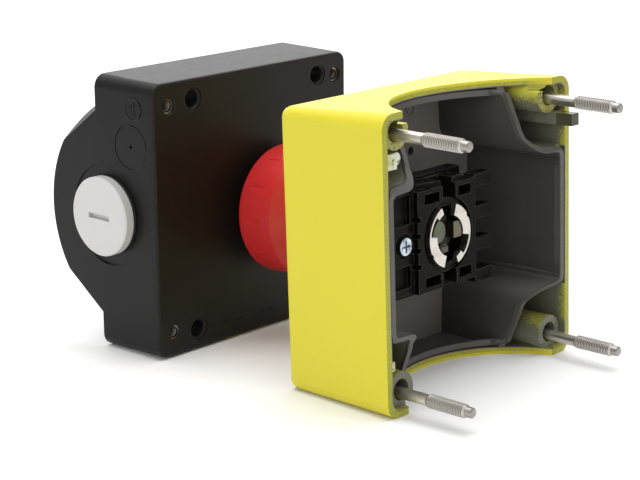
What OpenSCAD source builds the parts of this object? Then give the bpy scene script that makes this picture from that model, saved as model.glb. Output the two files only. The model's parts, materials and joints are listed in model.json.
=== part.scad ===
// Emergency stop control station, taken apart into its two halves.
// The black base stands upright at the left with its rear mounting face towards -Y.
// The yellow cover stands behind it on its drafted bottom wall, open rim towards -Y.
// +Z is up, +Y is the way both halves face, and z = 0 is the table that they stand on.
// The origin is on the table at the middle of everything that stands there.

/* [Enclosure] */
// Width and height of both halves at the parting plane, mm
body_size = 85; // [80:0.5:90]
// Depth of the base's four straight walls, mm
base_depth = 25; // [22:0.5:30]
// Depth of the cover from its open rim to its front face, mm
cover_depth = 39; // [36:0.5:44]
// Thickness of the cast walls of the base, mm
wall = 3; // [2:0.25:4]
// Thickness of the cover's walls at its open rim, mm
cover_wall = 2.1; // [1.6:0.1:3]
// Draft of the base walls, degrees
base_draft = 1.3; // [0.5:0.1:2.5]
// Draft of the cover walls, which is also the lean of the standing cover, degrees
cover_draft = 1.8; // [1:0.1:3.5]
// Radius of the round side walls of the base, mm
disc_radius = 36.6; // [34:0.1:38]
// How far the round side walls stand in front of the parting plane, mm
disc_rise = 22; // [18:0.5:24]

/* [Fasteners] */
// Spacing of the cover screws across the base, mm
screw_span_wide = 72.5; // [70:0.5:75]
// Spacing of the cover screws up the base, mm
screw_span_tall = 69.5; // [66:0.5:72]
// Spacing of the mounting holes across the base, mm
mount_span_wide = 54.5; // [50:0.5:60]
// Spacing of the mounting holes up the base, mm
mount_span_tall = 71.5; // [68:0.5:74]
// Diameter of the mounting holes, mm
mount_hole = 5.2; // [4.5:0.1:6]
// How far the cover screws reach past the cover's rim, mm
screw_reach = 23.5; // [20:0.5:26]

/* [Emergency stop] */
// Diameter of the mushroom, mm
mushroom_diameter = 40; // [36:0.5:44]
// Height of the mushroom's front above the cover's front face, mm
mushroom_height = 42; // [36:0.5:42]
// Diameter of the actuator's barrel in the panel, mm
barrel_diameter = 22; // [20:0.1:23]
// Width of the grip band round the mushroom, mm
band_width = 13; // [10:0.5:16]
// Number of grip notches round the mushroom
grip_count = 12; // [8:1:18]

/* [Cable entries] */
// Bore diameter of the metric 20 cable entries, mm
entry_bore = 18.5; // [18:0.1:20]
// Flange diameter of the blanking plug, mm
plug_flange = 24.4; // [23:0.1:28]

/* [Layout] */
// Whether the cover stands beside the base or is shown closed on it
cover_state = "beside"; // [beside, closed]
// Sideways place of the standing cover, mm
cover_x = 7; // [-10:0.5:20]
// Distance from the base's rear face to the rim of the standing cover, mm
cover_back = 83.5; // [83:0.5:120]

/* [Hidden] */
$fn = 64;
half = body_size / 2;
mid = half;
plug_out = 46.2;
place_x = (plug_out - cover_x - half) / 2;
place_y = (cover_back + screw_reach + 1.4 - base_depth - disc_rise) / 2;
base_rear = half - base_depth * tan(base_draft);
base_core = half - 4;
cover_front = half - cover_depth * tan(cover_draft);
cover_core = half - 4.5;
inner = half - wall;
cover_inner = half - cover_wall;
disc_centre = base_depth + disc_rise - disc_radius;
disc_out = half - 0.3;
disc_in = disc_out - wall;
entry_y = 21;
thread_end = 8.6;
cover_lift = half * cos(cover_draft);
floor_y = wall;
ring_back = 11.5;
ring_out = 9.4;
clamp_x = -17.8;
screw_shift = 0.7;
mount_shift = 1.5;
insert_r = 3.1;
insert_back = 1;
insert_front = 10;
boss_hole = 3.1;
boss_start = 1.9;
pad_half = 19.6;
screw_pivot = 31;
screw_droop = cover_state == "closed" ? 0 : 1.7;
front_wall = 3.5;
panel_back = cover_depth - front_wall;
cap_front = cover_depth + mushroom_height;
cap_back = cap_front - 3.2 - band_width;
mush_r = mushroom_diameter / 2;
barrel_r = barrel_diameter / 2;
head_y = cover_depth - 6.5;
ledge = ring_back + 7;
neck_back = cover_depth + 8;
lip = 1.8;
lip_end = 16;
carrier_top = floor_y + 3;
block_top = 31.5;
block_half = 21;
block_x = 5.25;
black = [0.13, 0.13, 0.13];
yellow = [0.92, 0.87, 0.16];
red = [0.72, 0.12, 0.12];
zinc = [0.76, 0.75, 0.72];
steel = [0.72, 0.69, 0.63];
grey = [0.42, 0.41, 0.40];
pale = [0.86, 0.85, 0.83];

// Sub-part to show

// helpers
module along_y(y0, y1, r) {
    translate([0, y0, 0])
        rotate([-90, 0, 0])
            cylinder(h = y1 - y0, r = r);
}

module cone_y(y0, y1, r0, r1) {
    translate([0, y0, 0])
        rotate([-90, 0, 0])
            cylinder(h = y1 - y0, r1 = r0, r2 = r1);
}

module along_x(x0, x1, r) {
    translate([x0, 0, 0])
        rotate([0, 90, 0])
            cylinder(h = x1 - x0, r = r);
}

module along_z(z0, z1, r) {
    translate([0, 0, z0])
        cylinder(h = z1 - z0, r = r);
}

// box given by its low and high corners
module block(low, high) {
    translate(low)
        cube(high - low);
}

// square block along Y whose half size goes from h0 to h1, with rounded long edges
module drafted(y0, y1, h0, h1, core) {
    translate([0, 0, -core])
        linear_extrude(height = 2 * core)
            polygon([[-h0, y0], [h0, y0], [h1, y1], [-h1, y1]]);
    rotate([0, 90, 0])
        translate([0, 0, -core])
            linear_extrude(height = 2 * core)
                polygon([[-h0, y0], [h0, y0], [h1, y1], [-h1, y1]]);
    for (sx = [-1, 1], sz = [-1, 1])
        translate([sx * core, 0, sz * core])
            cone_y(y0, y1, h0 - core, h1 - core);
}

// the four places of a centred rectangle in X and Z
module corners(span_x, span_z) {
    for (sx = [-1, 1], sz = [-1, 1])
        translate([sx * span_x / 2, 0, sz * span_z / 2])
            children();
}

// places of the cover screws in the base and, a quarter turn on, in the cover
module base_screw_places() {
    translate([screw_shift, 0, 0])
        corners(screw_span_wide, screw_span_tall)
            children();
}

module cover_screw_places() {
    translate([0, 0, screw_shift])
        corners(screw_span_tall, screw_span_wide)
            children();
}

module mount_places() {
    translate([mount_shift, 0, 0])
        corners(mount_span_wide, mount_span_tall)
            children();
}

// moves a piece drawn round the base's own axis to its place
module in_base() {
    translate([place_x, place_y, mid])
        children();
}

// moves a piece drawn round the cover's own axis to its place
module in_cover() {
    if (cover_state == "closed")
        translate([place_x, place_y + base_depth, mid])
            rotate([0, 90, 0])
                children();
    else
        translate([place_x + cover_x, place_y - cover_back, cover_lift])
            rotate([-cover_draft, 0, 0])
                children();
}

// ring along Y
module ring_y(y0, y1, r_out, r_in) {
    difference() {
        along_y(y0, y1, r_out);
        along_y(y0 - 1, y1 + 1, r_in);
    }
}

// the base
module base_outline() {
    drafted(0, 0.25, base_rear - 0.7, base_rear - 0.25, base_core);
    drafted(0.25, 0.8, base_rear - 0.25, base_rear, base_core);
    drafted(0.8, base_depth, base_rear, half, base_core);
}

module side_disc(side) {
    x0 = side > 0 ? disc_in : -disc_out;
    difference() {
        translate([0, disc_centre, 0])
            along_x(x0, x0 + wall, disc_radius);
        block([-half - 1, -60, -60], [half + 1, base_depth - 1, 60]);
        // flat bevel across the upper and lower flanks of the round wall's outer edge
        for (flank = [-1, 1])
            translate([side * disc_out, disc_centre, 0])
                rotate([flank * 54, 0, 0])
                    translate([0, disc_radius * cos(20), 0])
                        rotate([0, 0, -side * 45])
                            block([-12, 0, -20], [12, 12, 20]);
    }
}

module corner_rib(sx, sz) {
    block([sx * 21 - 1, floor_y - 0.5, min(sz * 28, sz * inner)],
        [sx * 21 + 1, 19, max(sz * 28, sz * inner)]);
    block([min(sx * 20, sx * inner), floor_y - 0.5, sz * 28 - 1],
        [max(sx * 20, sx * inner), 19, sz * 28 + 1]);
}

// protective earth sign in relief: one stem and three bars
module earth_sign() {
    x1 = -disc_out - 0.1;
    translate([0, 8.6, 33.9]) {
        difference() {
            along_x(x1, x1 + 1, 3.5);
            along_x(x1 - 1, x1 + 2, 3.2);
        }
        block([x1, -2.3, -0.18], [x1 + 1, -0.5, 0.18]);
        block([x1, -0.6, -2.2], [x1 + 1, -0.3, 2.2]);
        block([x1, 0.4, -1.5], [x1 + 1, 0.7, 1.5]);
        block([x1, 1.4, -0.8], [x1 + 1, 1.7, 0.8]);
    }
}

module base_housing() {
    color(black)
        in_base()
            difference() {
                union() {
                    difference() {
                        base_outline();
                        drafted(floor_y, base_depth + 1, inner - 0.5, inner, inner - 2);
                    }
                    for (side = [-1, 1])
                        side_disc(side);
                    for (side = [-1, 1])
                        entry_boss(side);
                    intersection() {
                        base_screw_places()
                            along_y(insert_back, base_depth - 0.4, 4.8);
                        drafted(0, base_depth, base_rear - 1, half - 1, base_core - 1);
                    }
                    mount_places()
                        intersection() {
                            along_y(1, 6, 5);
                            block([-9, 0, -4.6], [9, 9, 4.6]);
                        }
                    for (sx = [-1, 1], sz = [-1, 1])
                        corner_rib(sx, sz);
                    // floor bosses for the carrier and the earth terminal
                    for (sz = [-1, 1])
                        translate([0, 0, sz * 26.5])
                            along_y(floor_y - 0.5, carrier_top - 1, 3.6);
                    translate([-26, 0, 14])
                        along_y(floor_y - 0.5, 7, 4.6);
                    // moulded line and marks on the rear face
                    block([-21, -0.25, -37.1], [-4.5, 0.5, -36.5]);
                    block([1.2, -0.25, -37.5], [1.7, 0.5, -35.8]);
                    block([2.4, -0.25, -37.5], [2.9, 0.5, -35.8]);
                    translate([6.8, 0, -36.8])
                        along_y(-0.25, 0.5, 0.6);
                    earth_sign();
                }
                // through holes for the cover screws, with the seats of the cast-in inserts
                base_screw_places() {
                    along_y(-1, insert_back + 0.1, 2.15);
                    cone_y(-0.1, 0.4, 2.65, 2.15);
                    along_y(insert_back, insert_front, insert_r);
                    along_y(insert_front - 0.1, base_depth + 1, 2.5);
                }
                // mounting holes with a shallow stepped seat
                mount_places() {
                    along_y(-1, 7, mount_hole / 2);
                    along_y(-1, 0.35, 3.65);
                    cone_y(0.3, 0.75, mount_hole / 2 + 0.45, mount_hole / 2);
                }
                translate([0, entry_y, 0])
                    along_x(-half - 2, half + 2, entry_bore / 2);
                // spot faces for the plug and gland flanges
                for (side = [-1, 1])
                    translate([0, entry_y, 0])
                        along_x(min(side * (disc_out - 0.35), side * 44),
                            max(side * (disc_out - 0.35), side * 44), 15.8);
                // fine ring and gate dimple on the near wall
                translate([0, 10, 22.3]) {
                    difference() {
                        along_x(-half - 1, -disc_out + 0.35, 6.9);
                        along_x(-half - 2, -disc_out + 1, 6.5);
                    }
                    along_x(-half - 1, -disc_out + 1, 0.6);
                }
                // blind holes for the carrier screws and the earth screw
                for (sz = [-1, 1])
                    translate([0, 0, sz * 26.5])
                        along_y(1.2, 9, 1.3);
                translate([-26, 0, 14])
                    along_y(1.2, 9, 1.65);
            }
}

// threaded boss on the inside of a round wall
module entry_boss(side) {
    a = side * (disc_out - 0.5);
    b = side * (disc_out - thread_end);
    intersection() {
        translate([0, entry_y, 0])
            along_x(min(a, b), max(a, b), 13.5);
        block([-half, floor_y - 0.5, -20], [half, 60, 20]);
    }
}

module screw_inserts() {
    color(steel)
        in_base()
            base_screw_places()
                ring_y(insert_back, insert_front, insert_r, 1.7);
}

module plug_gasket() {
    color(grey)
        in_base()
            translate([0, entry_y, 0])
                difference() {
                    along_x(-disc_out - 0.4, -disc_out + 0.35, 12.2);
                    along_x(-disc_out - 2, -disc_out + 2, 9.4);
                }
}

module cable_plug() {
    x1 = -disc_out - 0.4;
    color(pale)
        in_base()
            translate([0, entry_y, 0])
                difference() {
                    union() {
                        translate([x1 - 0.4, 0, 0])
                            rotate([0, -90, 0])
                                cylinder(h = 2.7, r = plug_flange / 2);
                        translate([x1, 0, 0])
                            rotate([0, -90, 0])
                                cylinder(h = 0.4, r1 = plug_flange / 2 - 0.4, r2 = plug_flange / 2);
                        translate([x1 - 3.1, 0, 0])
                            rotate([0, -90, 0])
                                cylinder(h = 0.5, r1 = plug_flange / 2, r2 = plug_flange / 2 - 0.5);
                        along_x(x1 - 0.5, -disc_out + thread_end - 0.6, entry_bore / 2 - 0.06);
                    }
                    along_x(x1 - 0.4, 0, entry_bore / 2 - 2);
                    block([x1 - 5, -4.6, -0.8], [x1 - 2.2, 4.6, 0.8]);
                }
}

module module_carrier() {
    color(black)
        in_base()
            difference() {
                union() {
                    block([-15, floor_y, -24], [15, carrier_top, 24]);
                    for (sz = [-1, 1])
                        translate([0, 0, sz * 26.5])
                            along_y(carrier_top - 1, carrier_top, 5);
                    // end stops that the blocks snap against
                    for (sz = [-1, 1])
                        block([-12, floor_y, sz > 0 ? block_half + 0.2 : -block_half - 2.2],
                            [12, floor_y + 9, sz > 0 ? block_half + 2.2 : -block_half - 0.2]);
                }
                for (sz = [-1, 1])
                    translate([0, 0, sz * 26.5]) {
                        along_y(floor_y - 1, carrier_top + 1, 1.6);
                        along_y(floor_y - 1, carrier_top - 1, 3.7);
                    }
                block([-11, floor_y - 1, -9], [11, carrier_top + 1, 9]);
            }
}

module carrier_screws() {
    color(zinc)
        in_base()
            for (sz = [-1, 1])
                translate([0, 0, sz * 26.5])
                    difference() {
                        union() {
                            along_y(1.4, carrier_top + 0.5, 1.3);
                            along_y(carrier_top, carrier_top + 2, 2.7);
                        }
                        block([-1.8, carrier_top + 1, -0.3], [1.8, carrier_top + 3, 0.3]);
                        block([-0.3, carrier_top + 1, -1.8], [0.3, carrier_top + 3, 1.8]);
                    }
}

// one contact block, drawn round its own centre line
module contact_block() {
    difference() {
        union() {
            block([-5, carrier_top, -block_half], [5, block_top - 6, block_half]);
            block([-5, block_top - 7, -13], [5, block_top, 13]);
            for (sz = [-1, 1])
                block([-4, block_top - 6.5, sz > 0 ? 13 : -19], [4, block_top - 3.5, sz > 0 ? 19 : -13]);
        }
        // plunger well and contact chamber
        block([-2.6, block_top - 12, -5.6], [2.6, block_top + 1, 5.6]);
        block([-3.2, carrier_top + 3, -11], [3.2, block_top - 11, 11]);
        // screw shafts over the terminals
        for (sz = [-1, 1])
            translate([0, 0, sz * 16.5])
                along_y(block_top - 16, block_top + 1, 2.6);
        // slots for the fixed contact strips
        block([-2.5, block_top - 13.5, -20.5], [2.5, block_top - 12.5, 20.5]);
        // wire funnels in the end faces
        for (sz = [-1, 1])
            block([-3, block_top - 16, sz > 0 ? 16.5 : -block_half - 1],
                [3, block_top - 11, sz > 0 ? block_half + 1 : -16.5]);
    }
}

module contact_block_left() {
    color(black)
        in_base()
            translate([-block_x, 0, 0])
                contact_block();
}

module contact_block_right() {
    color([0.16, 0.16, 0.17])
        in_base()
            translate([block_x, 0, 0])
                contact_block();
}

// pusher of a contact block, which the closed cover's actuator presses in
module block_plunger() {
    difference() {
        union() {
            block([-2.5, block_top - 11, -5.5], [2.5, block_top + 4.8, 5.5]);
            block([-1.2, block_top - 13.4, -2.2], [1.2, block_top - 10.5, 2.2]);
        }
        block([-1.3, block_top + 1.4, -6], [1.3, block_top + 5, -2.4]);
        block([-1.3, block_top + 1.4, 2.4], [1.3, block_top + 5, 6]);
    }
}

module block_plunger_left() {
    color([0.72, 0.16, 0.14])
        in_base()
            translate([-block_x, 0, 0])
                block_plunger();
}

module block_plunger_right() {
    color([0.72, 0.16, 0.14])
        in_base()
            translate([block_x, 0, 0])
                block_plunger();
}

// moving contact of one block, held up against the fixed strips by its spring
module bridge() {
    color([0.78, 0.72, 0.60])
        block([-1.6, block_top - 14.1, -9], [1.6, block_top - 13.4, 9]);
}

module bridge_spring() {
    color(steel)
        ring_y(carrier_top + 3, block_top - 14.1, 1.9, 1.5);
}

module bridge_left() {
    in_base()
        translate([-block_x, 0, 0])
            bridge();
}

module bridge_right() {
    in_base()
        translate([block_x, 0, 0])
            bridge();
}

module bridge_spring_left() {
    in_base()
        translate([-block_x, 0, 0])
            bridge_spring();
}

module bridge_spring_right() {
    in_base()
        translate([block_x, 0, 0])
            bridge_spring();
}

module fixed_contacts() {
    color([0.80, 0.68, 0.38])
        in_base()
            for (sx = [-1, 1], sz = [-1, 1])
                translate([sx * block_x, 0, 0]) {
                    block([-2.4, block_top - 13.4, sz > 0 ? 6.4 : -20],
                        [2.4, block_top - 12.6, sz > 0 ? 20 : -6.4]);
                }
}

module terminal_screws() {
    color(zinc)
        in_base()
            for (sx = [-1, 1], sz = [-1, 1])
                translate([sx * block_x, 0, sz * 16.5])
                    difference() {
                        union() {
                            along_y(block_top - 12.5, block_top - 8, 1.5);
                            along_y(block_top - 9, block_top - 7, 2.4);
                        }
                        block([-1.7, block_top - 8, -0.3], [1.7, block_top - 6, 0.3]);
                        block([-0.3, block_top - 8, -1.7], [0.3, block_top - 6, 1.7]);
                    }
}

module earth_plate() {
    color([0.80, 0.68, 0.38])
        in_base()
            translate([-26, 0, 14])
                difference() {
                    union() {
                        block([-4, 7, -4], [4, 7.8, 4]);
                        block([-4, 7, -4], [4, 9.2, -3.2]);
                    }
                    along_y(6, 9, 2.0);
                }
}

module earth_screw() {
    color(zinc)
        in_base()
            translate([-26, 0, 14])
                difference() {
                    union() {
                        along_y(1.4, 8, 1.65);
                        along_y(7.8, 10.2, 3);
                    }
                    block([-2.2, 9.2, -0.35], [2.2, 11, 0.35]);
                    block([-0.35, 9.2, -2.2], [0.35, 11, 2.2]);
                }
}

// the cover
module cover_outline() {
    drafted(0, cover_depth - 2.2, half, cover_front, cover_core);
    drafted(cover_depth - 2.2, cover_depth - 0.9, cover_front, cover_front - 0.55, cover_core);
    drafted(cover_depth - 0.9, cover_depth, cover_front - 0.55, cover_front - 1.7, cover_core);
}

module cover_shell() {
    color(yellow)
        in_cover()
            difference() {
                union() {
                    difference() {
                        cover_outline();
                        drafted(-1, panel_back, cover_inner, cover_inner - 1.4, cover_inner - 3.2);
                    }
                    intersection() {
                        cover_screw_places()
                            along_y(boss_start, cover_depth - 1.5, 5.2);
                        drafted(0, cover_depth, half - 1, cover_front - 1, cover_core - 1);
                    }
                    difference() {
                        intersection() {
                            quarters()
                                raise_y(0.5, cover_depth - 2)
                                    polygon(web_outline);
                            drafted(0, cover_depth, half - 1, cover_front - 1, cover_core - 1);
                        }
                        above_lip(0);
                    }
                    side_pads();
                    // raised patch with a blind hole inside the front wall
                    block([7.4, panel_back - 0.5, 17.2], [14.2, cover_depth - 1, 24]);
                    // locating lug beside the upper right screw
                    block([35.6, -5.8, 28.3], [39.2, 14, 31.9]);
                    // anti-turn land round the actuator's hole
                    along_y(panel_back - 1.2, cover_depth - 1, 15.5);
                }
                cover_screw_places() {
                    along_y(0, cover_depth + 1, boss_hole);
                    along_y(head_y, cover_depth + 1, 3.6);
                }
                // round cut-outs that the base's side walls fill
                for (sz = [-1, 1])
                    translate([0, disc_centre - base_depth, 0])
                        along_z(sz > 0 ? inner - 1 : -half - 1, sz > 0 ? half + 1 : 1 - inner,
                            disc_radius + 0.3);
                along_y(cover_depth - 9, cover_depth + 1, barrel_r + 0.15);
                translate([10.8, 0, 20.6])
                    along_y(panel_back - 1, cover_depth - 2, 1.3);
                // ejector mark above the patch
                translate([11.3, 0, 33.2])
                    ring_y(panel_back - 1, panel_back + 0.3, 1.9, 1.5);
            }
}

// thicker zones inside the two plain side walls, which start a little in front of the rim
module side_pads() {
    for (sx = [-1, 1])
        translate([0, 0, -pad_half])
            linear_extrude(height = 2 * pad_half)
                polygon([[sx * 41, 4.6], [sx * 40, 4.9], [sx * 39.3, 6.6],
                    [sx * 38.4, cover_depth - 2], [sx * 40.5, cover_depth - 2]]);
}

// points of an arc in X and Z
function arc(x, z, r, from, to, count) = [for (k = [0 : count])
    [x + r * cos(from + (to - from) * k / count), z + r * sin(from + (to - from) * k / count)]];

// The S shaped wall that closes one corner off from the sealed space: round the pocket,
// then over to the side wall with a fillet on the side of the sealed space.
pocket = [32.6, 27.6, 6.6];
fillet = [36.6, 18.2, 2.6];
web_outline = concat([[24.4, 42], [25, 31]],
    arc(pocket.x, pocket.y, pocket.z + 1, 180, 262, 9), arc(fillet.x, fillet.y, fillet.z - 1, 82, 0, 6),
    [[41.5, 16], [41.5, 21.3]],
    arc(pocket.x, pocket.y, pocket.z - 1, 262, 180, 8), [[27, 31], [26.4, 42]]);

// centre line of the sealing lip in the same quarter, carried on along the side wall
lip_line = concat([[25.4, 42], [26, 31]],
    arc(pocket.x, pocket.y, pocket.z, 180, 262, 9), arc(fillet.x, fillet.y, fillet.z, 82, 0, 6),
    [[fillet.x + fillet.z, -1]]);

function unit(v) = v / norm(v);
function left_of(v) = [-v[1], v[0]];
function way_in(path, k) = unit(path[k] - path[max(k - 1, 0)]);
function way_out(path, k) = unit(path[min(k + 1, len(path) - 1)] - path[k]);

// sideways step at a corner of the path, long enough to keep the strip's width
function mitre(path, k) =
    k == 0 ? left_of(way_out(path, k)) :
    k == len(path) - 1 ? left_of(way_in(path, k)) :
    (left_of(way_in(path, k)) + left_of(way_out(path, k)))
        / (1 + way_in(path, k) * way_out(path, k));

module path_strip(path, width) {
    n = len(path);
    polygon(concat(
        [for (k = [0 : n - 1]) path[k] + mitre(path, k) * width / 2],
        [for (k = [n - 1 : -1 : 0]) path[k] - mitre(path, k) * width / 2]));
}

// a shape of the upper right quarter repeated in all four
module quarters() {
    for (sx = [-1, 1], sz = [-1, 1])
        scale([sx, 1, sz])
            children();
}

// a flat shape in X and Z raised along Y
module raise_y(y0, y1) {
    translate([0, y1, 0])
        rotate([90, 0, 0])
            linear_extrude(height = y1 - y0)
                children();
}

// flank line of the corner walls' rear edges, as Z and Y
lip_flank = [[15.4, 0.8], [19.6, 0.8], [25, 6.2], [40, 12.2]];

// profile of Z and Y drawn through the whole width at the top and at the bottom
module flank_profile(points) {
    for (sz = [-1, 1])
        rotate([0, 90, 0])
            translate([0, 0, -50])
                linear_extrude(height = 100)
                    polygon([for (p = points) [sz * p[0], p[1]]]);
}

// space behind the sloping rear edges, shifted back by so much
module above_lip(back) {
    flank_profile(concat([[13, -5], [13, lip_flank[0][1] - back]],
        [for (p = lip_flank) [p[0], p[1] - back]], [[46, lip_flank[3][1] - back], [46, -5]]));
}

// space in front of the beads, which the corner walls themselves fill
module below_lip() {
    flank_profile(concat([[lip_flank[0][0], 60]], lip_flank,
        [[46, lip_flank[3][1]], [46, 60]]));
}

module cover_seal() {
    color(grey)
        in_cover() {
            // lip on the corner walls and along the plain side walls
            difference() {
                intersection() {
                    quarters()
                        raise_y(0.1, lip_end)
                            path_strip(lip_line, lip);
                    block([-half, -1, -38.3], [half, lip_end, 38.3]);
                }
                above_lip(1.3);
                below_lip();
                block([-half, 2.4, -18], [half, lip_end + 1, 18]);
            }
            // beads along the two round cut-outs
            for (sz = [-1, 1])
                intersection() {
                    translate([0, disc_centre - base_depth, 0])
                        difference() {
                            along_z(sz > 0 ? 37.4 : -39.2, sz > 0 ? 39.2 : -37.4, disc_radius + 1.9);
                            along_z(-50, 50, disc_radius + 0.5);
                        }
                    block([-24.2, 3, -50], [24.2, 60, 50]);
                }
        }
}

module clear_inserts() {
    color([0.85, 0.87, 0.72])
        in_cover() {
            block([-39.9, 1.6, 26.7], [-34.8, 7, 31.1]);
            translate([-34.4, 0, 29.4])
                along_y(2.2, 7, 1.8);
            block([-39.9, 2.4, -29.8], [-36.4, 7, -27.2]);
        }
}

module screw_seals() {
    color([0.08, 0.08, 0.08])
        in_cover()
            cover_screw_places()
                ring_y(cover_depth - 9.4, cover_depth - 7, boss_hole - 0.05, 1.76);
}

module actuator_collar() {
    color(black)
        in_cover()
            difference() {
                union() {
                    cone_y(cover_depth + 1, cover_depth + 9.8, 15, 14.3);
                    cone_y(cover_depth + 9.8, cover_depth + 10.8, 14.3, 13.3);
                }
                along_y(cover_depth, cover_depth + 12, barrel_r + 0.05);
                along_y(cover_depth + 3.5, cover_depth + 12, 12.5);
            }
}

module collar_seal() {
    color([0.2, 0.2, 0.2])
        in_cover()
            ring_y(cover_depth, cover_depth + 1, 15, barrel_r + 0.1);
}

// threaded barrel with an inner ledge that carries the return spring
module actuator_barrel() {
    color(black)
        in_cover()
            difference() {
                union() {
                    along_y(ring_back + 2, cover_depth + 3.5, barrel_r);
                    along_y(cover_depth + 3, cover_depth + 9, 10.2);
                }
                along_y(0, ledge, 8.6);
                along_y(0, ledge + 4, 5.1);
                along_y(ledge + 2, cover_depth + 12, 8.4);
            }
}

// sector of a flat ring, from angle to angle anticlockwise as seen from the rear
module sector(r_in, r_out, from, to) {
    steps = ceil((to - from) / 6);
    polygon(concat(arc(0, 0, r_out, from, to, steps), arc(0, 0, r_in, to, from, steps)));
}

// bayonet ring of two like arcs, each wide at one end and thin towards a small end tab
module lock_ring() {
    color(steel)
        in_cover()
            for (turn = [0, 180])
                rotate([0, turn, 0])
                    raise_y(ring_back, ring_back + 1.9) {
                        sector(6.9, ring_out, -5, 76);
                        sector(8.1, ring_out, -68, -5);
                        sector(7.4, ring_out, -68, -52);
                    }
}

// windows of the holder that contact blocks could snap into, at the top or at the bottom
module holder_windows(sz) {
    scale([1, 1, sz]) {
        block([-10.4, ring_back - 1, 10.8], [-3.6, 21, 13.7]);
        block([4.9, ring_back - 1, 10.8], [10.6, 21, 13.7]);
        block([-2.3, ring_back - 1, 8], [3.7, 19, 20]);
        block([-14.4, ring_back - 1, 6.2], [-12.3, 17, 7.6]);
        block([-14.4, ring_back - 1, 1.4], [-12.3, 17, 2.8]);
    }
}

module module_holder() {
    color(black)
        in_cover()
            difference() {
                union() {
                    block([-13.6, ring_back + 0.8, -15], [12.8, 24, 15]);
                    block([-14.5, 19.5, -17.5], [14.5, 24, 17.5]);
                    // clamp frame at the left
                    block([-24.6, ring_back + 2.6, -14.5], [-13, 20, 16.8]);
                    // tapered lever on top
                    translate([0, 0, 14.5])
                        linear_extrude(height = 2)
                            polygon([[-12.8, 15.6], [-3, 13], [9, 14.2], [9, 20], [-12.8, 20]]);
                    // latch fingers at the right
                    for (k = [-1, 0, 1, 2])
                        translate([0, 0, k * 9.6 - 5.3])
                            block([12.5, ring_back + 0.8, -1.9], [20.4, ring_back + 5, 1.9]);
                }
                along_y(0, 30, barrel_r + 0.1);
                holder_windows(1);
                holder_windows(-1);
                translate([clamp_x, 0, 0]) {
                    along_y(0, 30, 1.5);
                    along_y(0, ring_back + 3.6, 3.6);
                }
                // sunk fields of the clamp frame
                for (sz = [-1, 1])
                    block([-23, ring_back, sz > 0 ? 6 : -12.5], [-15, ring_back + 4, sz > 0 ? 14.5 : -6]);
            }
}

module holder_screw() {
    color(zinc)
        in_cover()
            translate([clamp_x, 0, 0])
                difference() {
                    union() {
                        along_y(ring_back + 1.8, ring_back + 3.6, 2.6);
                        along_y(ring_back + 3, panel_back - 1.4, 1.45);
                    }
                    block([-1.8, ring_back, -0.35], [1.8, ring_back + 2.7, 0.35]);
                    block([-0.35, ring_back, -1.8], [0.35, ring_back + 2.7, 1.8]);
                }
}

module actuator_stem() {
    color([0.88, 0.87, 0.82])
        in_cover() {
            along_y(ledge - 1, cap_back + 4, 5);
            along_y(cover_depth, cover_depth + 2, 8.2);
        }
}

module stem_pusher() {
    color([0.47, 0.50, 0.40])
        in_cover()
            difference() {
                union() {
                    along_y(ring_back + 4, ledge - 1, 6.6);
                    // two round pads and the bar between them that meets the contact plungers
                    for (sx = [-1, 1])
                        translate([sx * 4.2, 0, 0])
                            along_y(ring_back + 0.4, ledge - 2, 2.5);
                    block([-1.5, ring_back + 1.1, -6.4], [1.5, ledge - 2, 6.4]);
                }
                along_y(0, ledge - 4, 1.1);
            }
}

module return_spring() {
    color(steel)
        in_cover()
            ring_y(ledge + 2, cover_depth, 7.2, 6.4);
}

module mushroom_cap() {
    color(red)
        in_cover()
            difference() {
                union() {
                    along_y(neck_back, cap_back + 1, 12.35);
                    cone_y(cap_back - 6, cap_back, 12.35, mush_r - 1.3);
                    cone_y(cap_back, cap_back + 0.8, mush_r - 1.3, mush_r - 0.3);
                    cone_y(cap_back + 0.8, cap_back + band_width, mush_r - 0.3, mush_r);
                    cone_y(cap_back + band_width, cap_back + band_width + 1.2, mush_r, mush_r - 0.9);
                    cone_y(cap_back + band_width + 1.2, cap_front - 0.9, mush_r - 0.9, mush_r - 3.2);
                    cone_y(cap_front - 0.9, cap_front, mush_r - 3.2, mush_r - 8);
                }
                along_y(cover_depth, cap_back + 4, 10.35);
                along_y(cap_front - 1, cap_front + 1, 9);
                for (k = [0 : grip_count - 1])
                    rotate([0, k * 360 / grip_count, 0])
                        translate([mush_r + 0.7, 0, 0])
                            along_y(cap_back + 5, cap_back + 10, 1.1);
            }
}

module mushroom_disc() {
    color(red)
        in_cover()
            union() {
                along_y(cap_front - 1, cap_front - 0.2, 8.9);
                cone_y(cap_front - 0.2, cap_front, 8.9, 8.3);
            }
}

// captive cover screw with a dog point, drawn on its own axis
module cover_screw() {
    color(steel)
        difference() {
            union() {
                along_y(head_y + 0.12, head_y + 3.4, 3.2);
                cone_y(head_y + 3.4, head_y + 4, 3.2, 2.7);
                along_y(-9.2, head_y + 1, 1.65);
                cone_y(-10, -9.2, 1.76, 1.65);
                along_y(3.2 - screw_reach, -10, 1.76);
                cone_y(2.7 - screw_reach, 3.2 - screw_reach, 1.5, 1.76);
                along_y(0.4 - screw_reach, 3 - screw_reach, 1.5);
                cone_y(-screw_reach, 0.4 - screw_reach, 1.1, 1.5);
            }
            block([-2.2, head_y + 2.2, -0.5], [2.2, head_y + 5, 0.5]);
            block([-0.5, head_y + 2.2, -2.2], [0.5, head_y + 5, 2.2]);
        }
}

// one screw in its boss, hanging a little in its wide hole while it stands apart
module screw_at(sx, sz) {
    in_cover()
        translate([sx * screw_span_tall / 2, screw_pivot, sz * screw_span_wide / 2 + screw_shift])
            rotate([screw_droop, 0, 0])
                translate([0, -screw_pivot, 0])
                    cover_screw();
}

module screw_top_left() {
    screw_at(-1, 1);
}

module screw_top_right() {
    screw_at(1, 1);
}

module screw_bottom_left() {
    screw_at(-1, -1);
}

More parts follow.
